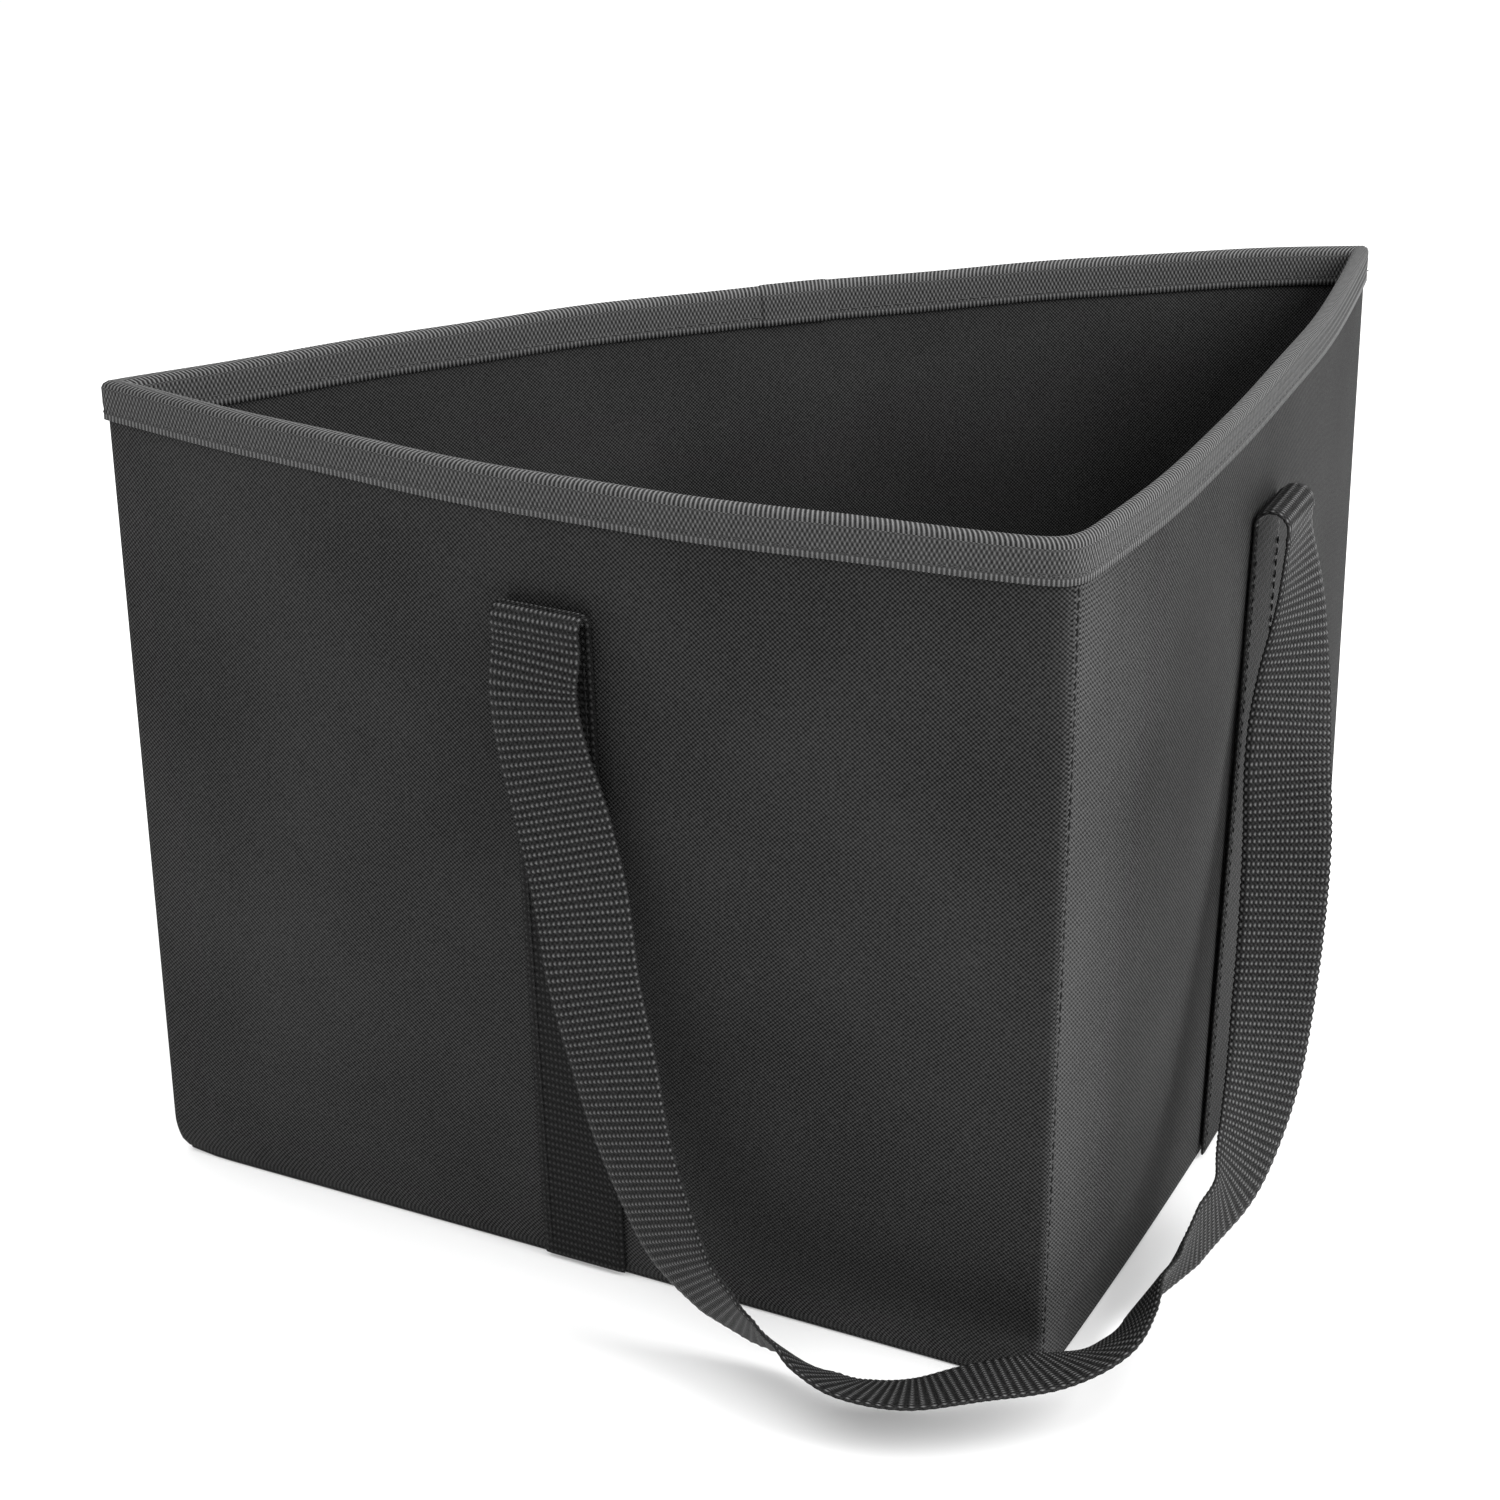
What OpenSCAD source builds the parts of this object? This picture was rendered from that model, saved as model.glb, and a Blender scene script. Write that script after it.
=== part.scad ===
// Triangular open-top fabric basket with stiff walls and one loop of webbing as its handle.
// +Z is up. The front wall runs along X and the side wall along Y, and they meet at a
// square corner. The back wall closes the triangle. The origin is under the middle of
// the basket's box, on the surface it stands on. Millimetres.

/* [Basket] */
// Length of the front wall, from the square corner to the left corner
front_w = 268; // [266:1:270]
// Length of the side wall, from the square corner to the rear corner
side_w = 263; // [261:1:265]
// Height to the top of the rim
height = 235; // [232:1:238]

/* [Bow of the walls] */
// How far the front wall bows out at the rim
front_bow = 13; // [8:1:14]
// How far the side wall bows out at the rim
side_bow = 8; // [4:1:10]
// How far the back wall bows out at the rim
back_bow = 22; // [12:1:26]
// How far the side wall bows out at the base
side_foot_bow = 3; // [0:1:4]
// How far the back wall bows out at the base
back_foot_bow = 5; // [0:1:8]

/* [Rear corner] */
// How far the rear corner leans in past the square corner at the rim
rear_lean = 5; // [0:0.5:7]
// How far the rear corner stands out past the square corner at the foot
rear_foot_out = 1; // [0:0.5:2]

/* [Layers] */
// Thickness of the outer cloth
cloth_t = 0.8; // [0.6:0.1:1]
// Thickness of the stiffening board
board_t = 1.5; // [1.2:0.1:2]
// Thickness of the lining cloth
lining_t = 0.5; // [0.4:0.1:0.8]

/* [Rim tape] */
// Thickness of the binding tape
tape_t = 0.6; // [0.5:0.1:0.8]
// How far the tape reaches down each face of the wall
tape_drop = 11; // [10:0.5:13]

/* [Webbing] */
// Width of the webbing
strap_w = 25; // [24:1:26]
// Thickness of the webbing
strap_t = 1.5; // [1.2:0.1:1.8]
// Height of the top of each fold
fold_top = 202; // [198:1:206]
// Gap inside the fold on the front wall
front_fold_gap = 5; // [4:0.5:5.5]
// Gap inside the fold on the side wall
side_fold_gap = 7.5; // [6:0.5:8]

/* [Hidden] */
$fn = 48;

// Place of the square corner in the part's frame
CORNER_X = 127;
CORNER_Y = -123;

// Clearances and thread sizes
LAYER_GAP = 0.1;
MITRE_GAP = 0.2;
THREAD = 0.5;
SEAM_R = 0.4;
STITCH_RISE = 2.5;
SEAM_FOOT = 2;
SEAM_TOP_GAP = 2;
RUN_FOOT = 1;
RUN_GAP = 0.3;
TAIL = 5;
RUN_SHIFT = [2, 3];
STITCH_INSET = 2.5;
STITCH_FOOT = 6;
STITCH_TOP_GAP = 16;
SIDE_STEPS = 16;
RISE_STEPS = 4;

// The walls in order: 0 front, 1 side, 2 back, each from its own corner to the next
function corners(rear_x) = [
    [CORNER_X - front_w, CORNER_Y],
    [CORNER_X, CORNER_Y],
    [CORNER_X + rear_x, CORNER_Y + side_w]
];
FOOT_CORNERS = corners(rear_foot_out);
RIM_CORNERS = corners(-rear_lean);
RIM_BOW = [front_bow, side_bow, back_bow];
FOOT_BOW = [0, side_foot_bow, back_foot_bow];

// Depths of the layers, inward from the outer face of the cloth
BOARD_IN = cloth_t + LAYER_GAP;
BOARD_OUT = BOARD_IN + board_t;
LINING_IN = BOARD_OUT + LAYER_GAP;
WALL_T = LINING_IN + lining_t;
WALL_TOP = height - tape_t - LAYER_GAP;
FLOOR_Z = WALL_T;

function unit(v) = v / norm(v);
function turn(v, a) = [v[0] * cos(a) - v[1] * sin(a), v[0] * sin(a) + v[1] * cos(a)];
function mix(a, b, t) = a + (b - a) * t;

function corner(i, z) = mix(FOOT_CORNERS[i % 3], RIM_CORNERS[i % 3], z / height);
function span(i, z) = corner(i + 1, z) - corner(i, z);
function along(i, z) = unit(span(i, z));
function inward(i, z) = turn(along(i, z), 90);
function bow(i, z) = mix(FOOT_BOW[i], RIM_BOW[i], z / height);
function end_slope(i, z) = atan(4 * bow(i, z) / norm(span(i, z)));

// Inward step at corner i for one millimetre of depth on both of its walls
function mitre(i, z) =
    let (before = (i + 2) % 3,
         n1 = turn(inward(before, z), end_slope(before, z)),
         n2 = turn(inward(i, z), -end_slope(i, z)))
    (n1 + n2) / (1 + n1 * n2);

// Point on wall i at t from 0 to 1 along it, at a depth and a height
function wall_point(i, t, depth, z) =
    let (m0 = mitre(i, z),
         m1 = mitre((i + 1) % 3, z),
         a = corner(i, z) + m0 * depth,
         b = corner(i + 1, z) + m1 * depth,
         rise = bow(i, z) - depth + depth * (m0 + m1) * inward(i, z) / 2,
         p = mix(a, b, t) - inward(i, z) * rise * 4 * t * (1 - t))
    [p[0], p[1], z];

function quad(a, b, c, d) = [[a, b, c], [a, c, d]];
function flat(list) = [for (part = list) for (item = part) item];

// Sheet of one wall between two depths and two heights
module wall_sheet(i, depth0, depth1, z0, z1) {
    trim = MITRE_GAP / norm(span(i, 0));
    row = SIDE_STEPS + 1;
    count = row * (RISE_STEPS + 1);
    points = [for (depth = [depth0, depth1]) for (j = [0:RISE_STEPS]) for (k = [0:SIDE_STEPS])
        wall_point(i, mix(trim, 1 - trim, k / SIDE_STEPS), depth, mix(z0, z1, j / RISE_STEPS))];
    last = RISE_STEPS * row;
    faces = flat(concat(
        [for (j = [0:RISE_STEPS - 1]) for (k = [0:SIDE_STEPS - 1])
            let (q = j * row + k) quad(q, q + row, q + row + 1, q + 1)],
        [for (j = [0:RISE_STEPS - 1]) for (k = [0:SIDE_STEPS - 1])
            let (q = count + j * row + k) quad(q, q + 1, q + row + 1, q + row)],
        [for (k = [0:SIDE_STEPS - 1]) quad(k, k + 1, count + k + 1, count + k)],
        [for (k = [0:SIDE_STEPS - 1])
            let (q = last + k) quad(q, count + q, count + q + 1, q + 1)],
        [for (j = [0:RISE_STEPS - 1])
            let (q = j * row) quad(q, count + q, count + q + row, q + row)],
        [for (j = [0:RISE_STEPS - 1])
            let (q = j * row + SIDE_STEPS) quad(q, q + row, count + q + row, count + q)]
    ));
    polyhedron(points, faces);
}

// Closed ring round the basket, whose section is a list of [depth, z] going round clockwise
module wall_ring(section) {
    sides = len(section);
    stations = 3 * SIDE_STEPS;
    points = [for (i = [0:2]) for (k = [0:SIDE_STEPS - 1]) for (s = section)
        wall_point(i, k / SIDE_STEPS, s[0], s[1])];
    faces = flat([for (k = [0:stations - 1]) for (j = [0:sides - 1])
        let (k2 = (k + 1) % stations, j2 = (j + 1) % sides)
        quad(k * sides + j, k * sides + j2, k2 * sides + j2, k2 * sides + j)]);
    polyhedron(points, faces);
}

// Flat panel of the base, whose edge is at a depth inside the outer face
module base_sheet(depth, z0, thickness) {
    outline = [for (i = [0:2]) for (k = [0:SIDE_STEPS - 1])
        let (p = wall_point(i, k / SIDE_STEPS, depth, 0)) [p[0], p[1]]];
    translate([0, 0, z0]) linear_extrude(thickness) polygon(outline);
}

module outer_panel(i) {
    color("#2b2b2c") wall_sheet(i, 0, cloth_t, cloth_t + LAYER_GAP, WALL_TOP);
}

module stiffener(i) {
    color("#1d1d1d") wall_sheet(i, BOARD_IN, BOARD_OUT, cloth_t + LAYER_GAP, WALL_TOP);
}

module lining(i) {
    color("#202021") wall_sheet(i, LINING_IN, WALL_T, cloth_t + LAYER_GAP, WALL_TOP);
}

module base_outer_panel() {
    color("#2b2b2c") base_sheet(0, 0, cloth_t);
}

module base_stiffener() {
    color("#1d1d1d") base_sheet(WALL_T + LAYER_GAP, BOARD_IN, board_t);
}

module base_lining() {
    color("#202021") base_sheet(WALL_T + LAYER_GAP, LINING_IN, lining_t);
}

module rim_binding_tape() {
    out = -LAYER_GAP;
    in = WALL_T + LAYER_GAP;
    foot = height - tape_drop;
    under = height - tape_t;
    color("#68686a") wall_ring([
        [out, foot], [out - tape_t, foot], [out - tape_t, height], [in + tape_t, height],
        [in + tape_t, foot], [in, foot], [in, under], [out, under]
    ]);
}

// Thread lies on both faces of the tape, a little above its lower edge
module rim_stitching() {
    z0 = height - tape_drop + STITCH_RISE;
    z1 = z0 + THREAD;
    out = -tape_t - 2 * LAYER_GAP;
    in = WALL_T + tape_t + 2 * LAYER_GAP;
    color("#3a3a3b") {
        wall_ring([[out, z0], [out - THREAD, z0], [out - THREAD, z1], [out, z1]]);
        wall_ring([[in + THREAD, z0], [in, z0], [in, z1], [in + THREAD, z1]]);
    }
}

// Middle of the thread just outside corner i
function seam_spot(i, z) =
    let (p = corner(i, z) - unit(mitre(i, z)) * (SEAM_R + LAYER_GAP)) [p[0], p[1], z];

// Line of thread up corner i, below the tape
module corner_seam(i) {
    low = seam_spot(i, SEAM_FOOT);
    reach = seam_spot(i, height - tape_drop - SEAM_TOP_GAP) - low;
    color("#161616") translate(low)
        rotate([0, acos(reach[2] / norm(reach)), atan2(reach[1], reach[0])])
            cylinder(r = SEAM_R, h = norm(reach));
}

module base_lining_seam() {
    in = WALL_T + LAYER_GAP;
    z0 = FLOOR_Z + LAYER_GAP;
    color("#161616")
        wall_ring([[in + THREAD, z0], [in, z0], [in, z0 + THREAD], [in + THREAD, z0 + THREAD]]);
}

// Side view of a sewn run: it goes up the wall, folds outward and ends in a short tail.
// x is the distance from the wall and y is the height.
module run_profile(i) {
    fold_gap = i == 0 ? front_fold_gap : side_fold_gap;
    fold_r = fold_gap / 2;
    run_h = fold_top - fold_r - strap_t;
    translate([RUN_GAP, RUN_FOOT]) square([strap_t, run_h - RUN_FOOT]);
    translate([RUN_GAP + strap_t + fold_r, run_h]) intersection() {
        difference() {
            circle(r = fold_r + strap_t);
            circle(r = fold_r);
        }
        translate([-2 * fold_top, 0]) square(4 * fold_top);
    }
    translate([RUN_GAP + strap_t + fold_gap, run_h - TAIL]) square([strap_t, TAIL]);
}

// Puts a side view near the middle of wall i, leaning with the wall
module on_wall(i, width) {
    foot = wall_point(i, 0.5, 0, 0);
    out = -inward(i, height / 2);
    rim = wall_point(i, 0.5, 0, height) - foot;
    heading = atan2(out[1], out[0]);
    lean = atan((rim[0] * out[0] + rim[1] * out[1]) / height);
    translate(foot + along(i, height / 2) * RUN_SHIFT[i]) rotate([90, 0, heading]) rotate(-lean)
        linear_extrude(width, center = true) children();
}

module strap_run(i) {
    color("#1c1c1d") on_wall(i, strap_w) run_profile(i);
}

// Two rows of thread along the edges of a sewn run
module strap_stitching(i) {
    z1 = fold_top - STITCH_TOP_GAP;
    color("#333334") for (side = [-1, 1])
        translate(along(i, height / 2) * side * (strap_w / 2 - STITCH_INSET))
            on_wall(i, THREAD)
                translate([RUN_GAP + strap_t + LAYER_GAP, STITCH_FOOT]) square([THREAD, z1 - STITCH_FOOT]);
}

// Free loop of webbing. Each row is [x, y, z, heading, rise]: a point of the middle line,
// measured from the foot of the square corner, then the direction of the webbing's width
// as a heading and a rise, in degrees.
LOOP_ROUTE = [
    [-132, -18, 191, 0, 0], [-132, -20, 180, 0, 0], [-129, -21, 165, 5, 0],
    [-124, -21, 147, 14, 0], [-119, -22, 127, 18, 0], [-115, -24, 106, 12, 0],
    [-109, -26, 86, 4, 0], [-103, -28, 66, -6, 0], [-96, -29, 48, -12, 2],
    [-88, -30, 33, -17, 4], [-78, -30, 23, -20, 8], [-68, -30, 17, -32, 20],
    [-58, -31, 14, -48, 26], [-48, -34, 13, -64, 26], [-36, -36, 13, -75, 24],
    [-22, -33, 14, -72, 19], [-8, -24, 16, -60, 16], [6, -14, 17, -48, 16],
    [15, -2, 17, -47, 26], [18, 13, 16, -52, 38], [18, 30, 15, -70, 38],
    [20, 44, 15, -85, 32], [23, 59, 18, -98, 22], [26, 74, 23, -102, 8],
    [27, 87, 33, -114, 2], [27, 98, 48, -128, 0], [26, 106, 66, -139, 0],
    [25, 112, 88, -146, 0], [23, 118, 110, -150, 0], [20, 123, 132, -142, 0],
    [18, 130, 152, -126, 0], [17, 134, 172, -106, 0], [15, 135, 190, -90, 0]
];
LOOP_PARTS = 2;
EDGE_CUT = 0.4;

// Smooth curve through the rows of a route
function smooth(p0, p1, p2, p3, t) =
    (2 * p1 + (p2 - p0) * t + (2 * p0 - 5 * p1 + 4 * p2 - p3) * t * t
        + (3 * p1 - p0 - 3 * p2 + p3) * t * t * t) / 2;

function refined(route, parts) =
    let (last = len(route) - 1)
    concat([for (i = [0:last - 1]) for (k = [0:parts - 1])
        smooth(route[max(i - 1, 0)], route[i], route[i + 1], route[min(i + 2, last)],
            k / parts)],
        [route[last]]);

function place(row) = [CORNER_X + row[0], CORNER_Y + row[1], row[2]];

// Points round the webbing's section at row i of a refined route
function loop_ring(rows, i) =
    let (last = len(rows) - 1,
         way = unit(place(rows[min(i + 1, last)]) - place(rows[max(i - 1, 0)])),
         h = rows[i][3],
         r = rows[i][4],
         across = [cos(h) * cos(r), sin(h) * cos(r), sin(r)],
         wide = unit(across - way * (across * way)),
         thick = cross(way, wide),
         a = strap_w / 2,
         b = strap_t / 2)
    [for (c = [[-a, -b + EDGE_CUT], [-a + EDGE_CUT, -b], [a - EDGE_CUT, -b],
               [a, -b + EDGE_CUT], [a, b - EDGE_CUT], [a - EDGE_CUT, b],
               [-a + EDGE_CUT, b], [-a, b - EDGE_CUT]])
        place(rows[i]) + wide * c[0] + thick * c[1]];

module handle_loop() {
    rows = refined(LOOP_ROUTE, LOOP_PARTS);
    rings = len(rows);
    sides = 8;
    points = flat([for (i = [0:rings - 1]) loop_ring(rows, i)]);
    skin = flat([for (i = [0:rings - 2]) for (j = [0:sides - 1])
        let (j2 = (j + 1) % sides)
        quad(i * sides + j, (i + 1) * sides + j, (i + 1) * sides + j2, i * sides + j2)]);
    caps = [[for (j = [0:sides - 1]) j],
            [for (j = [0:sides - 1]) rings * sides - 1 - j]];
    color("#1c1c1d") polyhedron(points, concat(skin, caps));
}

outer_panel(0);  // front_outer_panel
outer_panel(1);  // side_outer_panel
outer_panel(2);  // back_outer_panel
base_outer_panel();
stiffener(0);  // front_stiffener
stiffener(1);  // side_stiffener
stiffener(2);  // back_stiffener
base_stiffener();
lining(0);  // front_lining
lining(1);  // side_lining
lining(2);  // back_lining
base_lining();
rim_binding_tape();
rim_stitching();
corner_seam(0);  // left_corner_seam
corner_seam(1);  // front_corner_seam
corner_seam(2);  // rear_corner_seam
base_lining_seam();
strap_run(0);  // front_strap_run
strap_run(1);  // side_strap_run
strap_stitching(0);  // front_strap_stitching
strap_stitching(1);  // side_strap_stitching
handle_loop();
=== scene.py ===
import bpy
import math
import numpy as np
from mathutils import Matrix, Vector


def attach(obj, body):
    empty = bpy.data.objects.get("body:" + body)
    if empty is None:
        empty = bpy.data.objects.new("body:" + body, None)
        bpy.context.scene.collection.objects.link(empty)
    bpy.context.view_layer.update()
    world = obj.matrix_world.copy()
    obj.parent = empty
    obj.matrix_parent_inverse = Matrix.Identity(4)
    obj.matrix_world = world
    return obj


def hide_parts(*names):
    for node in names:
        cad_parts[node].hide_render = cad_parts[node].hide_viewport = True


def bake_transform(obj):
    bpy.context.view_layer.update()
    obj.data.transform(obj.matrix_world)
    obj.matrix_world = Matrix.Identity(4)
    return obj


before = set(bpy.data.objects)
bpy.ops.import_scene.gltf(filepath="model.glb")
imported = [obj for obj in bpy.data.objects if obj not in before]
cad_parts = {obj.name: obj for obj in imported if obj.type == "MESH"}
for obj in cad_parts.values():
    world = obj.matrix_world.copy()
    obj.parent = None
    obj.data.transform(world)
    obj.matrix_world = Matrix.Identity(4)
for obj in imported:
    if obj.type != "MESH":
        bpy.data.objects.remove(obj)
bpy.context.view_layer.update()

MM = 0.001
# Sizes of the basket, the same as the CAD's, in millimetres
CORNER = np.array([127.0, -123.0])
FRONT_W, SIDE_W, HEIGHT = 268.0, 263.0, 235.0
RIM_BOW, FOOT_BOW = (13.0, 8.0, 22.0), (0.0, 3.0, 5.0)
REAR_LEAN, REAR_FOOT_OUT = 5.0, 1.0
CLOTH_T, BOARD_T, LINING_T, GAP, RUN_GAP = 0.8, 1.5, 0.5, 0.1, 0.3
TAPE_T, TAPE_DROP, STITCH_RISE = 0.6, 11.0, 2.5
STRAP_W, STRAP_T, FOLD_TOP = 25.0, 1.5, 202.0
FOLD_GAPS, RUN_SHIFT = (5.0, 7.5), (2.0, 3.0)
WALL_T = CLOTH_T + BOARD_T + LINING_T + 2 * GAP
BOARD_IN = CLOTH_T + GAP
LINING_IN = BOARD_IN + BOARD_T + GAP

# Pitches of the weaves and lengths of the stitches
CLOTH_PITCH, LINING_PITCH, GATHER_PITCH = 0.62, 0.5, 1.35
RIB, COLUMN = 2.15, 1.3
TAPE_RIB, TAPE_COLUMN, LAP_AT = 1.2, 1.1, 0.44
STITCH, STITCH_PITCH, THREAD_R, SEAM_R = 2.3, 3.3, 0.24, 0.31

WALL_NAMES = ("front", "side", "back")
SPOTS = (216, 212, 302)  # fine points along each wall
CROWDING, FOOT_CROWDING = 0.35, 0.2  # of the mesh towards the corners and the foot
EDGE_ROUND = 2.0
CLOTH_TOP, BOARD_TOP = 233.0, 232.5
BASE_MIDDLE, BASE_INSET = 80, 0.45  # from the square corner, and from the wall's outer face

# Swells of each wall: waves as (size, turns along it, turns up it), then the swell at its rim
SWELLS = (
    (((0.5, 5, 0.02), (0.25, 17, -0.03)), 0.0),
    (((0.7, 7, 0.035),), 0.5),
    (((1.5, 6, 0.02),), -0.7),
)
PUCKER, PUCKER_RIPPLE, PUCKER_PITCH = 0.25, 0.16, 3.1
PUCKER_NEAR, PUCKER_FAR, PUCKER_DRIFT, PUCKER_DRIFT_REACH = 1.2, 6, 0.4, 9
TUCK, TUCK_RISE, TUCK_SPREAD = 3.0, 11, 5
# Rounding of the corners, in spots: all of them, then the front one at its foot and rim
CORNER_SOFT, FRONT_SOFT, FRONT_RIM_SOFT, FRONT_SPREAD = 0.6, 1.2, 5.0, 16

# Relief of the tape and of the webbing
TAPE_RIB_RISE, LAP_RISE, LAP_SPOTS = 0.07, 0.45, 16
PRESS, PRESS_REACH, TAPE_ARCH, ARCH_RISE = 0.12, 0.8, 2.2, 0.6
TAPE_DRIFT = ((0.3, 29, 0), (0.15, 11, 1))  # waves up and down, as (size, reach, turn)
STITCH_Z = HEIGHT - TAPE_DROP + STITCH_RISE
SUNK, STITCH_DIP = 0.08, 0.35  # of the rim's stitches into the tape, and of a stitch's ends
SEAM_FOOT, SEAM_TOP = 4, HEIGHT - TAPE_DROP - 2
SEAM_SHIFTS = (-1.5, 1.6, 1.5)  # of the left, front and rear seams from their corners, in spots
RUN_STITCH_FOOT, RUN_STITCH_TOP, RUN_STITCH_INSET = 7, FOLD_TOP - 16, 2.5
BASE_SEAM_IN, BASE_SEAM_UP = 0.3, 0.2
SKIN = 0.02  # how far the middle of a stitch lies inside the cloth or the webbing
RIB_RISE, RIB_SPREAD, EDGE_FROM, EDGE_THIN = 0.16, 0.2, 0.93, 0.55
ACROSS = 15  # points across each face of the webbing

# Looks of the materials: how fast the gathers (bumped, and painted in as shade and highlight) fade,
# per metre from the seam, and the bands of the tape, by their distance from its middle
GATHER_FADE, SPECULAR = 22.0, 0.08
FOLD_BAND, EDGE_BAND = 3.4, 10.7

# Camera in metres and degrees, then the studio
LENS, CAMERA_AT, CAMERA_DIP, CAMERA_TURN = 73.77, (0.3358, -0.7390, 0.4925), 25.57, 25.32
WORLD_LIGHT = 0.58
FLOOR_SIZE, FLOOR_Z = 12, -0.0004
FLOOR_GREY, FLOOR_ROUGH, FLOOR_GLOW = 0.65, 0.9, 0.24

# Middle line of the free loop, from the foot of the square corner, in metres, then the
# heading and rise of its width in degrees
LOOP_ROUTE = [
    (-0.132, -0.018, 0.191, 0, 0), (-0.132, -0.020, 0.180, 0, 0),
    (-0.129, -0.021, 0.165, 5, 0), (-0.124, -0.021, 0.147, 14, 0),
    (-0.119, -0.022, 0.127, 18, 0), (-0.115, -0.024, 0.106, 12, 0),
    (-0.109, -0.026, 0.086, 4, 0), (-0.103, -0.028, 0.066, -6, 0),
    (-0.096, -0.029, 0.048, -12, 2), (-0.088, -0.030, 0.033, -17, 4),
    (-0.078, -0.030, 0.023, -20, 8), (-0.068, -0.030, 0.017, -32, 20),
    (-0.058, -0.031, 0.014, -48, 26), (-0.048, -0.034, 0.013, -64, 26),
    (-0.036, -0.036, 0.013, -75, 24), (-0.022, -0.033, 0.014, -72, 19),
    (-0.008, -0.024, 0.016, -60, 16), (0.006, -0.014, 0.017, -48, 16),
    (0.015, -0.002, 0.017, -47, 26), (0.018, 0.013, 0.016, -52, 38),
    (0.018, 0.030, 0.015, -70, 38), (0.020, 0.044, 0.015, -85, 32),
    (0.023, 0.059, 0.018, -98, 22), (0.026, 0.074, 0.023, -102, 8),
    (0.027, 0.087, 0.033, -114, 2), (0.027, 0.098, 0.048, -128, 0),
    (0.026, 0.106, 0.066, -139, 0), (0.025, 0.112, 0.088, -146, 0),
    (0.023, 0.118, 0.110, -150, 0), (0.020, 0.123, 0.132, -142, 0),
    (0.018, 0.130, 0.152, -126, 0), (0.017, 0.134, 0.172, -106, 0),
    (0.015, 0.135, 0.190, -90, 0),
]


# ---- camera, floor and light ----

def make_camera():
    cam = bpy.data.objects.new("camera", bpy.data.cameras.new("camera"))
    bpy.context.collection.objects.link(cam)
    cam.data.sensor_width = 36
    cam.data.lens = LENS
    cam.location = CAMERA_AT
    cam.rotation_euler = (math.radians(90 - CAMERA_DIP), 0, math.radians(CAMERA_TURN))
    bpy.context.scene.camera = cam


def area_light(name, place, aim, size, watts):
    light = bpy.data.objects.new(name, bpy.data.lights.new(name, "AREA"))
    bpy.context.collection.objects.link(light)
    light.data.size = size
    light.data.energy = watts
    light.location = place
    light.rotation_euler = (Vector(aim) - Vector(place)).to_track_quat("-Z", "Y").to_euler()


def make_light():
    scene = bpy.context.scene
    scene.view_settings.view_transform = "Standard"
    world = bpy.data.worlds.new("studio")
    scene.world = world
    world.use_nodes = True
    back = world.node_tree.nodes["Background"]
    back.inputs["Color"].default_value = (1, 1, 1, 1)
    back.inputs["Strength"].default_value = WORLD_LIGHT
    area_light("key", place=(1.5, 0.1, 1.1), aim=(0, 0, 0.12), size=1.1, watts=46)
    area_light("top", place=(-0.3, -0.25, 1.8), aim=(0, 0, 0.1), size=2.4, watts=54)


def make_floor():
    bpy.ops.mesh.primitive_plane_add(size=FLOOR_SIZE, location=(0, 0, FLOOR_Z))
    floor = bpy.context.object
    floor.name = "floor"
    mat = bpy.data.materials.new("floor")
    mat.use_nodes = True
    shader = mat.node_tree.nodes["Principled BSDF"]
    shader.inputs["Base Color"].default_value = (*[FLOOR_GREY] * 3, 1)
    shader.inputs["Roughness"].default_value = FLOOR_ROUGH
    shader.inputs["Emission Color"].default_value = (1, 1, 1, 1)
    shader.inputs["Emission Strength"].default_value = FLOOR_GLOW
    floor.data.materials.append(mat)


# ---- shape of the walls ----

def turned(v, angle):
    c, s = math.cos(angle), math.sin(angle)
    return np.array([v[0] * c - v[1] * s, v[0] * s + v[1] * c])


def corner(i, z):
    rear = REAR_FOOT_OUT - (REAR_LEAN + REAR_FOOT_OUT) * z / HEIGHT
    return CORNER + ([-FRONT_W, 0], [0, 0], [rear, SIDE_W])[i % 3]


def span(i, z):
    return corner(i + 1, z) - corner(i, z)


def wall_len(i, z=0.0):
    return float(np.linalg.norm(span(i, z)))


def inward(i, z):
    return turned(span(i, z) / wall_len(i, z), math.pi / 2)


def bow(i, z):
    return FOOT_BOW[i] + (RIM_BOW[i] - FOOT_BOW[i]) * z / HEIGHT


def mitre(i, z):
    before = (i + 2) % 3
    n1 = turned(inward(before, z), math.atan(4 * bow(before, z) / wall_len(before, z)))
    n2 = turned(inward(i, z), -math.atan(4 * bow(i, z) / wall_len(i, z)))
    return (n1 + n2) / (1 + n1 @ n2)


def share(z):
    """Height as a share of the basket's, kept from 0 to 1."""
    return min(max(z / HEIGHT, 0), 1)


def swell(i, t, z):
    """How far the wall stands out of its plain bow: none at its ends, foot and middle."""
    waves, rim = SWELLS[i]
    up = np.sin(math.pi * share(z))
    out = sum(size * np.sin(along * t + rise * z) for size, along, rise in waves)
    return np.sin(2 * math.pi * t) ** 2 * (up * out + rim * (z / HEIGHT) ** 3)


def pucker(i, t, z):
    """Small gathers of the side wall along its seam with the front wall."""
    if i != 1:
        return np.zeros(len(t))
    near = t * wall_len(1)
    fade = np.exp(-near / PUCKER_FAR) * (1 - np.exp(-near / PUCKER_NEAR))
    turn = z * 2 * math.pi / PUCKER_PITCH + PUCKER_DRIFT * math.sin(z / PUCKER_DRIFT_REACH)
    return -fade * (PUCKER + PUCKER_RIPPLE * math.cos(turn))


def blurred(loop, spots):
    reach = int(4 * spots) + 1
    weights = np.exp(-0.5 * (np.arange(-reach, reach + 1) / spots) ** 2)
    weights /= weights.sum()
    padded = np.concatenate([loop[-reach:], loop, loop[:reach]])
    return np.stack([np.convolve(padded[:, k], weights, "valid") for k in (0, 1)], 1)


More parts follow.
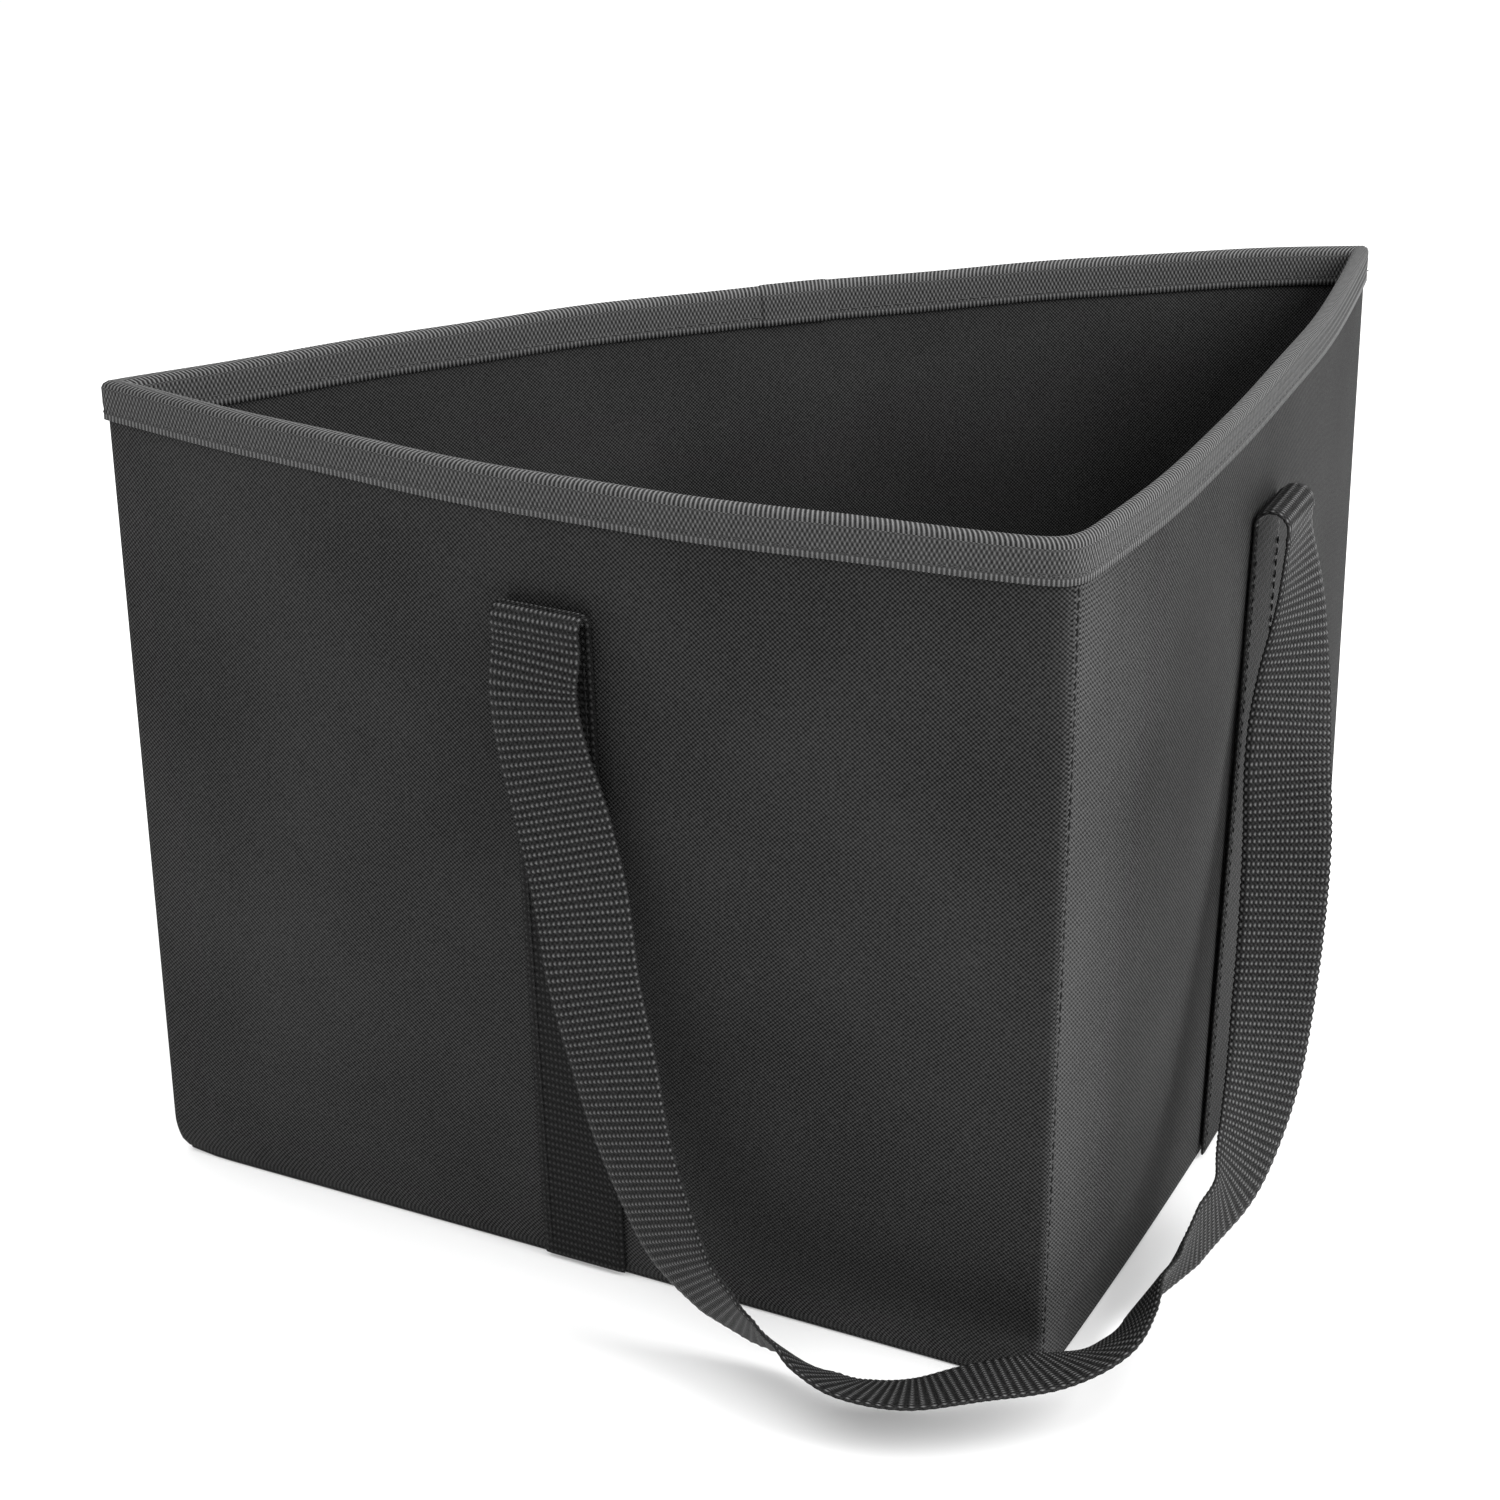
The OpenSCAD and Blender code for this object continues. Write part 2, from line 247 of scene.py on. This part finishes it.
def tuck(loop, z):
    """Draws the foot of the left corner in, where the cloth turns under."""
    low = max(0.0, 1 - z / TUCK_RISE) ** 2
    near = (np.arange(len(loop)) + len(loop) / 2) % len(loop) - len(loop) / 2
    draw = TUCK * low * np.exp(-0.5 * (near / TUCK_SPREAD) ** 2)
    return loop + np.outer(draw, mitre(0, 0) / np.linalg.norm(mitre(0, 0)))


def ring(depth, z):
    """Closed outline of the basket at a depth and height, with its corners rounded."""
    parts = []
    for i in range(3):
        t = np.arange(SPOTS[i]) / SPOTS[i]
        m0, m1 = mitre(i, z), mitre((i + 1) % 3, z)
        a, b = corner(i, z) + m0 * depth, corner(i + 1, z) + m1 * depth
        rise = bow(i, z) - depth + depth * ((m0 + m1) @ inward(i, z)) / 2
        out = rise * 4 * t * (1 - t) + swell(i, t, z) + pucker(i, t, z)
        parts.append(a + np.outer(t, b - a) - np.outer(out, inward(i, z)))
    loop = tuck(np.concatenate(parts), z)
    soft = np.exp(-0.5 * ((np.arange(len(loop)) - SPOTS[0]) / FRONT_SPREAD) ** 2)[:, None]
    front = FRONT_SOFT + (FRONT_RIM_SOFT - FRONT_SOFT) * share(z) ** 5
    return blurred(loop, CORNER_SOFT) * (1 - soft) + blurred(loop, front) * soft


def ring_len(depth, z):
    """Length of a ring in millimetres, but for its closing step."""
    return float(np.linalg.norm(np.diff(ring(depth, z), axis=0), axis=1).sum())


def on_ring(depth, z, spots):
    """Points of a ring at fractional fine spots, in metres."""
    loop = ring(depth, z)
    n = len(loop)
    low = np.floor(spots).astype(int) % n
    part = (spots - np.floor(spots))[:, None]
    xy = loop[low] * (1 - part) + loop[(low + 1) % n] * part
    return np.column_stack([xy, np.full(len(xy), z)]) * MM


def wall_spots(i, count):
    """Spots along one wall, closer together towards its two corners."""
    s = np.linspace(0, 1, count)
    eased = (1 - CROWDING) * s + CROWDING * (1 - np.cos(math.pi * s)) / 2
    return sum(SPOTS[:i]) + eased * SPOTS[i]


def foot_round(z):
    if z >= EDGE_ROUND:
        return 0.0
    return EDGE_ROUND - math.sqrt(EDGE_ROUND ** 2 - (EDGE_ROUND - z) ** 2)


# ---- meshes ----

def make_mesh(name, verts, faces, weave=None, material=None, body="basket"):
    mesh = bpy.data.meshes.new(name)
    mesh.from_pydata([tuple(v) for v in verts], [], [tuple(f) for f in faces])
    mesh.update()
    if weave is not None:
        values = np.column_stack([weave, np.zeros(len(weave))]).astype(np.float32)
        layer = mesh.attributes.new("weave", "FLOAT_VECTOR", "POINT")
        layer.data.foreach_set("vector", values.ravel())
    mesh.shade_smooth()
    obj = bpy.data.objects.new(name, mesh)
    bpy.context.collection.objects.link(obj)
    if material:
        mesh.materials.append(material)
    if body:
        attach(obj, body)
    return obj


def grid_faces(rows, cols, start=0, closed=False, flip=False):
    faces = []
    last = cols if closed else cols - 1
    for j in range(rows - 1):
        for k in range(last):
            k2 = (k + 1) % cols
            a, b = start + j * cols + k, start + j * cols + k2
            quad = (a, b, b + cols, a + cols)
            faces.append(quad[::-1] if flip else quad)
    return faces


def rim_faces(rows, cols, other):
    """Faces that close the four edges between two grids, the second of which starts at other."""
    edge = [(0, k) for k in range(cols)] + [(j, cols - 1) for j in range(1, rows)]
    edge += [(rows - 1, k) for k in range(cols - 2, -1, -1)]
    edge += [(j, 0) for j in range(rows - 2, 0, -1)]
    ids = [j * cols + k for j, k in edge]
    return [(ids[n - 1], ids[n - 1] + other, ids[n] + other, ids[n]) for n in range(len(ids))]


def wall_slab(name, i, depth0, depth1, top, material, node, rows=90, cols=110):
    spots = wall_spots(i, cols)
    lift = np.linspace(0, 1, rows)
    heights = BOARD_IN + (top - BOARD_IN) * ((1 - FOOT_CROWDING) * lift + FOOT_CROWDING * lift ** 2)
    verts, weave = [], []
    for depth in (depth0, depth1):
        for z in heights:
            points = on_ring(depth + foot_round(z), z, spots)
            verts.append(points)
            run = np.zeros(cols)
            run[1:] = np.cumsum(np.linalg.norm(np.diff(points, axis=0), axis=1))
            weave.append(np.column_stack([run, np.full(cols, z * MM)]))
    verts, weave = np.concatenate(verts), np.concatenate(weave)
    size = rows * cols
    faces = grid_faces(rows, cols) + grid_faces(rows, cols, size, flip=True)
    faces += rim_faces(rows, cols, size)
    obj = make_mesh(name, verts, faces, weave, material)
    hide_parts(node)
    return obj


def base_slab(name, depth, z0, z1, material, node, steps=18, cols=150):
    spots = np.linspace(0, sum(SPOTS), cols, endpoint=False)
    middle = np.array([CORNER[0] - BASE_MIDDLE, CORNER[1] + BASE_MIDDLE, 0]) * MM
    verts = []
    for z in (z0, z1):
        edge = on_ring(depth, 0, spots)
        edge[:, 2] = 0
        for k in range(steps):
            scale = 1 - k / steps
            verts.append(middle + (edge - middle) * scale + [0, 0, z * MM])
        verts.append(np.array([middle + [0, 0, z * MM]]))
    size = steps * cols + 1
    verts = np.concatenate(verts)
    faces = grid_faces(steps, cols, closed=True, flip=True)
    faces += grid_faces(steps, cols, size, closed=True)
    for k in range(cols):
        k2 = (k + 1) % cols
        inner = (steps - 1) * cols
        faces.append((inner + k2, inner + k, size - 1))
        faces.append((size + inner + k, size + inner + k2, 2 * size - 1))
        faces.append((k, k2, size + k2, size + k))
    obj = make_mesh(name, verts, faces, verts[:, :2], material)
    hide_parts(node)
    return obj


# ---- materials ----

class Nodes:
    """Small helper that builds a node tree of maths on the weave's coordinates."""

    def __init__(self, name):
        self.mat = bpy.data.materials.new(name)
        self.mat.use_nodes = True
        self.tree = self.mat.node_tree
        self.shader = self.tree.nodes["Principled BSDF"]

    def link(self, value, socket):
        if isinstance(value, (int, float)):
            socket.default_value = value
        else:
            self.tree.links.new(value, socket)

    def math(self, kind, a, b=0.0):
        node = self.tree.nodes.new("ShaderNodeMath")
        node.operation = kind
        self.link(a, node.inputs[0])
        self.link(b, node.inputs[1])
        return node.outputs[0]

    def add(self, a, b):
        return self.math("ADD", a, b)

    def times(self, a, b):
        return self.math("MULTIPLY", a, b)

    def coords(self):
        node = self.tree.nodes.new("ShaderNodeAttribute")
        node.attribute_name = "weave"
        split = self.tree.nodes.new("ShaderNodeSeparateXYZ")
        self.tree.links.new(node.outputs["Vector"], split.inputs[0])
        return split.outputs[0], split.outputs[1]

    def wave(self, coordinate, pitch_mm, shift=0.0):
        """A wave from 0 to 1 along a coordinate in metres."""
        turn = self.times(coordinate, 2 * math.pi / (pitch_mm * MM))
        value = self.math("COSINE", self.add(turn, shift))
        return self.add(self.times(value, 0.5), 0.5)

    def noise(self, scale, detail, stretch=None):
        node = self.tree.nodes.new("ShaderNodeTexNoise")
        node.inputs["Scale"].default_value = scale
        node.inputs["Detail"].default_value = detail
        place = self.tree.nodes.new("ShaderNodeTexCoord")
        vector = place.outputs["Object"]
        if stretch:
            mapping = self.tree.nodes.new("ShaderNodeMapping")
            mapping.inputs["Scale"].default_value = stretch
            self.tree.links.new(vector, mapping.inputs[0])
            vector = mapping.outputs[0]
        self.tree.links.new(vector, node.inputs["Vector"])
        return node.outputs[0]

    def shades(self, factor, dark, light):
        ramp = self.tree.nodes.new("ShaderNodeValToRGB")
        ramp.color_ramp.elements[0].color = (*[dark] * 3, 1)
        ramp.color_ramp.elements[1].color = (*[light] * 3, 1)
        self.tree.links.new(factor, ramp.inputs[0])
        return ramp.outputs[0]

    def bump(self, height, distance_mm):
        node = self.tree.nodes.new("ShaderNodeBump")
        node.inputs["Distance"].default_value = distance_mm * MM
        node.inputs["Strength"].default_value = 1.0
        self.tree.links.new(height, node.inputs["Height"])
        self.tree.links.new(node.outputs[0], self.shader.inputs["Normal"])

    def finish(self, colour, rough):
        self.tree.links.new(colour, self.shader.inputs["Base Color"])
        self.shader.inputs["Roughness"].default_value = rough
        self.shader.inputs["Specular IOR Level"].default_value = SPECULAR
        return self.mat


def woven_cloth(name, pitch, dark, light, gathers=0.0):
    """Plain weave: threads pass over and under each other, with gathers near the wall's start that
    are bumped and painted in as shade and highlight.
    """
    n = Nodes(name)
    u, v = n.coords()
    over = n.times(n.wave(u, 2 * pitch), n.wave(v, 2 * pitch))
    under = n.times(n.wave(u, 2 * pitch, math.pi), n.wave(v, 2 * pitch, math.pi))
    height = n.add(over, under)
    slub = n.times(n.noise(scale=1100, detail=2), 0.45)
    patch = n.times(n.noise(scale=16, detail=3), 0.35)
    tone = n.add(n.times(n.math("POWER", height, 1.5), 0.95), n.add(slub, patch))
    near = n.math("MAXIMUM", n.math("SUBTRACT", 1.0, n.times(u, GATHER_FADE)), 0.0)
    # The gathers are bumped, and also painted into the tone as light and dark stripes: painted
    # shade and highlight along the gathers, with the tone lowered by a quarter of their amount
    # everywhere.
    lines = n.times(n.times(n.wave(v, GATHER_PITCH), near), gathers)
    tone = n.add(tone, n.math("SUBTRACT", lines, gathers / 4))
    n.bump(n.add(height, n.add(slub, lines)), distance_mm=0.16)
    return n.finish(n.shades(n.math("SUBTRACT", tone, 0.4), dark, light), rough=0.75)


def webbing_material(name, light):
    """Flat webbing: ribs across it, broken into columns of raised threads."""
    n = Nodes(name)
    s, v = n.coords()
    rib, rib2 = n.wave(s, RIB), n.wave(s, RIB, math.pi)
    column, column2 = n.wave(v, COLUMN), n.wave(v, COLUMN, math.pi)
    row = n.times(rib, n.add(n.times(column, 0.75), 0.25))
    between = n.times(n.times(n.math("POWER", rib2, 2.5), column2), 0.4)
    height = n.add(row, between)
    fine = n.times(n.noise(scale=1600, detail=2), 0.3)
    peaks = n.math("POWER", height, 2.3)
    tone = n.add(n.times(peaks, 0.9), n.math("SUBTRACT", fine, 0.13))
    n.bump(n.add(height, fine), distance_mm=0.4)
    return n.finish(n.shades(tone, dark=0.003, light=light), rough=0.5)


def tape_material():
    """Binding tape: long ribs over its fold, dots on its faces, loops along its two edges."""
    n = Nodes("tape")
    s, v = n.coords()
    reach = n.math("ABSOLUTE", v)
    rib = n.wave(s, TAPE_RIB)
    dots = n.add(n.times(rib, n.wave(v, 2 * TAPE_COLUMN)),
                 n.times(n.wave(s, TAPE_RIB, math.pi), n.wave(v, 2 * TAPE_COLUMN, math.pi)))
    on_fold = n.math("LESS_THAN", reach, FOLD_BAND * MM)
    on_edge = n.math("GREATER_THAN", reach, EDGE_BAND * MM)
    plain = n.math("MAXIMUM", on_fold, on_edge)
    height = n.add(n.times(plain, rib), n.times(n.math("SUBTRACT", 1.0, plain), dots))
    fine = n.times(n.noise(scale=1500, detail=2), 0.3)
    tone = n.add(n.times(n.math("POWER", height, 1.8), 0.85), n.math("SUBTRACT", fine, 0.08))
    tone = n.add(tone, n.times(on_edge, 0.12))
    n.bump(n.add(height, fine), distance_mm=0.22)
    return n.finish(n.shades(tone, dark=0.004, light=0.155), rough=0.62)


def thread_material(name, dark, light):
    n = Nodes(name)
    twist = n.noise(scale=2600, detail=2, stretch=(1, 1, 0.4))
    n.bump(twist, distance_mm=0.08)
    return n.finish(n.shades(twist, dark, light), rough=0.55)


def board_material():
    n = Nodes("board")
    grain = n.noise(scale=300, detail=3)
    n.bump(grain, distance_mm=0.05)
    return n.finish(n.shades(grain, dark=0.012, light=0.025), rough=0.6)


# ---- rim tape ----

def tape_section(steps=7, inner_steps=5):
    """Rows of (depth, height, place across the tape, how much the ribs show), in millimetres."""
    out, inner = -GAP - TAPE_T, WALL_T + GAP + TAPE_T
    middle, radius = (out + inner) / 2, (inner - out) / 2
    foot, turn = HEIGHT - TAPE_DROP, HEIGHT - radius
    flat = turn - foot
    arc = radius * math.pi / 2
    rows = []
    for z in np.linspace(foot, turn, steps)[:-1]:
        rows.append((out, z, -arc - (turn - z), 1))
    for a in np.linspace(math.pi, 0, steps):
        rows.append((middle + radius * math.cos(a), turn + radius * math.sin(a),
                     radius * (math.pi / 2 - a), 1))
    for z in np.linspace(turn, foot, steps)[1:]:
        rows.append((inner, z, arc + (turn - z), 1))
    small = radius - TAPE_T
    rows.append((middle + small, foot, arc + flat, 0))
    for a in np.linspace(0, math.pi, inner_steps):
        rows.append((middle + small * math.cos(a), turn + small * math.sin(a), arc + flat, 0))
    rows.append((middle - small, foot, -arc - flat, 0))
    return rows


def tape_points(row, spots, travel):
    """One row of the section carried round the rim, with the ribs, the lap and the seam's dent."""
    depth, z, _, shown = row
    rib = np.cos(2 * math.pi * np.arange(len(spots)) / 3)
    lap_start = sum(SPOTS[:2]) + SPOTS[2] * LAP_AT
    lap = (spots > lap_start) & (spots < lap_start + LAP_SPOTS)
    lift = shown * (TAPE_RIB_RISE * rib + LAP_RISE * lap)
    press = -PRESS * math.exp(-((z - STITCH_Z) / PRESS_REACH) ** 2) * shown
    away = 1 if depth > WALL_T / 2 else -1
    plain = on_ring(depth, z, spots)
    normal = (on_ring(depth + away, z, spots) - plain) / MM
    arch = max(0.0, (z - (HEIGHT - TAPE_ARCH)) / TAPE_ARCH) if shown else 0.0
    points = plain + normal * ((lift + press) * (1 - arch))[:, None] * MM
    drift = sum(size * np.sin(travel / reach + turn) for size, reach, turn in TAPE_DRIFT)
    points[:, 2] += (lift * arch * ARCH_RISE + drift) * MM
    return points


def make_tape(material):
    rows = tape_section()
    stations = round(ring_len(0, HEIGHT) / TAPE_RIB) * 3
    spots = np.arange(stations) * sum(SPOTS) / stations
    travel = np.arange(stations) * TAPE_RIB / 3
    verts = np.concatenate([tape_points(row, spots, travel) for row in rows])
    weave = np.concatenate([np.column_stack([travel * MM, np.full(stations, row[2] * MM)])
                            for row in rows])
    faces = grid_faces(len(rows), stations, closed=True)
    last = (len(rows) - 1) * stations
    for k in range(stations):
        k2 = (k + 1) % stations
        faces.append((last + k, last + k2, k2, k))
    obj = make_mesh("rim_tape", verts, faces, weave, material)
    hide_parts("rim_binding_tape")


# ---- stitches ----

def stitch_mesh(name, middles, ways, outs, material, node, radius=THREAD_R):
    """One short rounded thread for each middle, lying along its way on a surface facing out."""
    sides, profile = 6, ((-1, 0.25), (-0.8, 0.85), (0, 1.15), (0.8, 0.85), (1, 0.25))
    verts, faces = [], []
    for middle, way, out in zip(middles, ways, outs):
        across = np.cross(way, out)
        start = len(verts)
        for place, swell_by in profile:
            for k in range(sides):
                a = 2 * math.pi * k / sides
                spot = across * math.cos(a) + out * math.sin(a)
                dip = -STITCH_DIP * place * place * radius * MM
                verts.append(middle + way * place * STITCH / 2 * MM
                             + spot * swell_by * radius * MM + out * dip)
        faces += grid_faces(len(profile), sides, start, closed=True)
        faces.append(tuple(start + k for k in range(sides))[::-1])
        faces.append(tuple(start + (len(profile) - 1) * sides + k for k in range(sides)))
    obj = make_mesh(name, verts, faces, None, material)
    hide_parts(node)
    return obj


def unit_rows(v):
    return v / np.linalg.norm(v, axis=1)[:, None]


def ring_stitches(depth, z, away):
    """Middles, ways and outward directions of the stitches all round a ring."""
    count = round(ring_len(depth, z) / STITCH_PITCH)
    spots = np.arange(count) * sum(SPOTS) / count
    middles = on_ring(depth, z, spots)
    ways = unit_rows(on_ring(depth, z, spots + 0.8) - on_ring(depth, z, spots - 0.8))
    outs = unit_rows(on_ring(depth + away, z, spots) - middles)
    return middles, ways, outs


def make_rim_stitches(material):
    out = ring_stitches(-GAP - TAPE_T + SUNK, STITCH_Z, -1)
    inner = ring_stitches(WALL_T + GAP + TAPE_T - SUNK, STITCH_Z, 1)
    stitch_mesh("rim_stitches", *[np.concatenate(pair) for pair in zip(out, inner)],
                material, "rim_stitching")


def make_corner_stitches(name, i, material, node):
    heights = np.arange(SEAM_FOOT, SEAM_TOP, STITCH_PITCH)
    spots = np.array([sum(SPOTS[:i]) + SEAM_SHIFTS[i]], float)
    middles = np.concatenate([on_ring(SKIN, z, spots) for z in heights])
    outer = np.concatenate([on_ring(-1, z, spots) for z in heights])
    ways = np.tile([0.0, 0.0, 1.0], (len(heights), 1))
    stitch_mesh(name, middles, ways, unit_rows(outer - middles), material, node, SEAM_R)


# ---- webbing ----

def smooth_path(rows, step):
    """Smooth curve through the rows, sampled evenly by the length of its first three columns."""
    rows = np.array(rows, float)
    dense = []
    for i in range(len(rows) - 1):
        p0, p1 = rows[max(i - 1, 0)], rows[i]
        p2, p3 = rows[i + 1], rows[min(i + 2, len(rows) - 1)]
        for t in np.arange(0, 1, 0.05):
            dense.append((2 * p1 + (p2 - p0) * t + (2 * p0 - 5 * p1 + 4 * p2 - p3) * t * t
                          + (3 * p1 - p0 - 3 * p2 + p3) * t ** 3) / 2)
    dense = np.array(dense + [rows[-1]])
    gone = np.concatenate([[0], np.cumsum(np.linalg.norm(np.diff(dense[:, :3], axis=0), axis=1))])
    count = int(round(gone[-1] / step)) + 1
    even = np.linspace(0, gone[-1], count)
    return np.column_stack([np.interp(even, gone, dense[:, k]) for k in range(rows.shape[1])]), even


def fold_level(i):
    return FOLD_TOP - FOLD_GAPS[i] / 2 - STRAP_T


def run_frame(i):
    """Foot, outward direction and lean of a sewn run, near the middle of its wall."""
    out = -inward(i, HEIGHT / 2)
    low, high = [(corner(i, z) + corner(i + 1, z)) / 2 - inward(i, z) * bow(i, z)
                 for z in (0, HEIGHT)]
    foot = low + turned(out, math.pi / 2) * RUN_SHIFT[i]
    return foot, out, math.atan((high - low) @ out / HEIGHT)


def profile_point(i, x, y):
    """Point of a sewn run's side view, in metres: x from the wall's foot, y up the wall."""
    foot, out, lean = run_frame(i)
    xy = foot + out * (x * math.cos(lean) + y * math.sin(lean))
    return np.array([xy[0], xy[1], y * math.cos(lean) - x * math.sin(lean)]) * MM


def run_heading(i):
    """Heading of a run's width: along the front wall, and back along the side wall."""
    out = run_frame(i)[1]
    turn = 90 if i == 0 else -90
    return math.degrees(math.atan2(out[1], out[0])) + turn


def fold_rows(i):
    """The fold at the top of a sewn run, from the wall outward."""
    radius = (FOLD_GAPS[i] + STRAP_T) / 2
    centre, level = RUN_GAP + STRAP_T + FOLD_GAPS[i] / 2, fold_level(i)
    rows = []
    for a in np.linspace(math.pi, 0, 9):
        p = profile_point(i, centre + radius * math.cos(a), level + radius * math.sin(a))
        rows.append((*p, run_heading(i), 0))
    return rows


def strap_rings(path, travel):
    """Rings of flat webbing along a path of x, y, z, heading and rise, with its ribs."""
    ways = unit_rows(np.gradient(path[:, :3], axis=0))
    h, r = np.radians(path[:, 3]), np.radians(path[:, 4])
    wide = np.column_stack([np.cos(h) * np.cos(r), np.sin(h) * np.cos(r), np.sin(r)])
    wide = unit_rows(wide - ways * (ways * wide).sum(1)[:, None])
    thick = np.cross(ways, wide)
    rib = np.cos(2 * math.pi * travel / (RIB * MM))
    places = np.linspace(-1, 1, ACROSS)
    verts, weave = [], []
    for side in (1, -1):
        for u in places * side:
            edge = max(0.0, (abs(u) - EDGE_FROM) / (1 - EDGE_FROM))
            half = (STRAP_T / 2 - RIB_RISE) * (1 - EDGE_THIN * edge)
            across = u * (STRAP_W / 2 - RIB_SPREAD + RIB_SPREAD * rib)
            lift = side * (half + RIB_RISE * rib * (1 - edge))
            verts.append(path[:, :3] + wide * (across * MM)[:, None]
                         + thick * (lift * MM)[:, None])
            weave.append(np.column_stack([travel, np.full(len(path), u * STRAP_W / 2 * MM)]))
    verts, weave = np.array(verts), np.array(weave)
    return verts.transpose(1, 0, 2).reshape(-1, 3), weave.transpose(1, 0, 2).reshape(-1, 2)


def strap_mesh(name, path, travel, material, body):
    verts, weave = strap_rings(path, travel)
    rings, sides = len(path), 2 * ACROSS
    faces = grid_faces(rings, sides, closed=True)
    faces.append(tuple(range(sides))[::-1])
    faces.append(tuple((rings - 1) * sides + k for k in range(sides)))
    return make_mesh(name, verts, faces, weave, material, body)


def make_loop(material):
    foot = np.array([CORNER[0], CORNER[1], 0]) * MM
    rows = fold_rows(0)
    rows += [(*(foot + row[:3]), row[3], row[4]) for row in LOOP_ROUTE]
    rows += fold_rows(1)[::-1]
    path, travel = smooth_path(rows, RIB * MM / 4)
    obj = strap_mesh("carry_loop", path, travel, material, None)
    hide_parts("handle_loop")
    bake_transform(obj)


def make_run(name, i, material, node):
    level = fold_level(i)
    middle = RUN_GAP + STRAP_T / 2
    heights = np.arange(1, level, RIB / 4)
    heights = np.append(heights, level)
    path = np.array([(*profile_point(i, middle, y), run_heading(i), 0) for y in heights])
    obj = strap_mesh(name, path, heights * MM, material, "basket")
    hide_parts(node)


def make_run_stitches(name, i, material, node):
    """Two rows of stitches up a sewn run, one beside each edge of it."""
    heights = np.arange(RUN_STITCH_FOOT, RUN_STITCH_TOP, STITCH_PITCH)
    middles, ways, outs = [], [], []
    side_way = np.array([*(span(i, 0) / wall_len(i)), 0.0])
    for side in (-1, 1):
        for y in heights:
            spot = profile_point(i, RUN_GAP + STRAP_T - SKIN, y)
            middles.append(spot + side_way * side * (STRAP_W / 2 - RUN_STITCH_INSET) * MM)
            up = profile_point(i, 0, y + 1) - profile_point(i, 0, y)
            ways.append(up / np.linalg.norm(up))
            out = profile_point(i, 1, y) - profile_point(i, 0, y)
            outs.append(out / np.linalg.norm(out))
    stitch_mesh(name, middles, ways, outs, material, node)


# ---- the basket ----

def make_walls(cloth, lit_gathered, board, lining):
    for i, wall in enumerate(WALL_NAMES):
        stiff = wall_slab(wall + "_board", i, BOARD_IN, BOARD_IN + BOARD_T, BOARD_TOP,
                          board, wall + "_stiffener")
        # The side wall's cloth carries painted light (its own brighter ramp) and painted shade
        # along its gathers.
        outer = wall_slab(wall + "_cloth", i, 0, CLOTH_T, CLOTH_TOP,
                          lit_gathered if i == 1 else cloth, wall + "_outer_panel")
        inner = wall_slab(wall + "_lining_cloth", i, LINING_IN, WALL_T, CLOTH_TOP,
                          lining, wall + "_lining")


def make_base(cloth, board, lining):
    inside = WALL_T + GAP
    stiff = base_slab("base_board", inside, BOARD_IN, BOARD_IN + BOARD_T, board,
                      "base_stiffener")
    outer = base_slab("base_cloth", BASE_INSET, 0, CLOTH_T, cloth,
                      "base_outer_panel")
    inner = base_slab("base_lining_cloth", inside, LINING_IN, WALL_T, lining,
                      "base_lining")


def make_stitching(thread, rim_thread):
    make_rim_stitches(rim_thread)
    for i, place in enumerate(("left", "front", "rear")):
        make_corner_stitches(place + "_corner_stitches", i, thread, place + "_corner_seam")
    seam = ring_stitches(WALL_T + GAP + BASE_SEAM_IN, WALL_T + GAP + BASE_SEAM_UP, 1)
    stitch_mesh("base_seam_stitches", *seam, thread, "base_lining_seam")


def build():
    make_camera()
    webbing = webbing_material("webbing", light=0.14)
    # The sewn runs get a darker copy of the same webbing: painted shade on the runs, not a
    # different strap.
    sewn = webbing_material("shaded_sewn_webbing", light=0.04)
    make_loop(webbing)
    make_run("front_webbing_run", 0, sewn, "front_strap_run")
    make_run("side_webbing_run", 1, sewn, "side_strap_run")
    cloth = woven_cloth("outer_cloth", CLOTH_PITCH, dark=0.002, light=0.062)
    # The side wall's copy of the outer cloth has its own, brighter ramp: painted light on the side
    # wall, besides its gathers.
    lit_gathered = woven_cloth("lit_gathered_cloth", CLOTH_PITCH, dark=0.002, light=0.08, gathers=0.5)
    lining = woven_cloth("lining_cloth", LINING_PITCH, dark=0.002, light=0.056)
    board = board_material()
    make_walls(cloth, lit_gathered, board, lining)
    make_base(cloth, board, lining)
    make_tape(tape_material())
    thread = thread_material("thread", dark=0.003, light=0.02)
    make_stitching(thread, thread_material("rim_thread", dark=0.02, light=0.07))
    make_run_stitches("front_run_stitches", 0, thread, "front_strap_stitching")
    make_run_stitches("side_run_stitches", 1, thread, "side_strap_stitching")
    make_floor()
    make_light()


build()
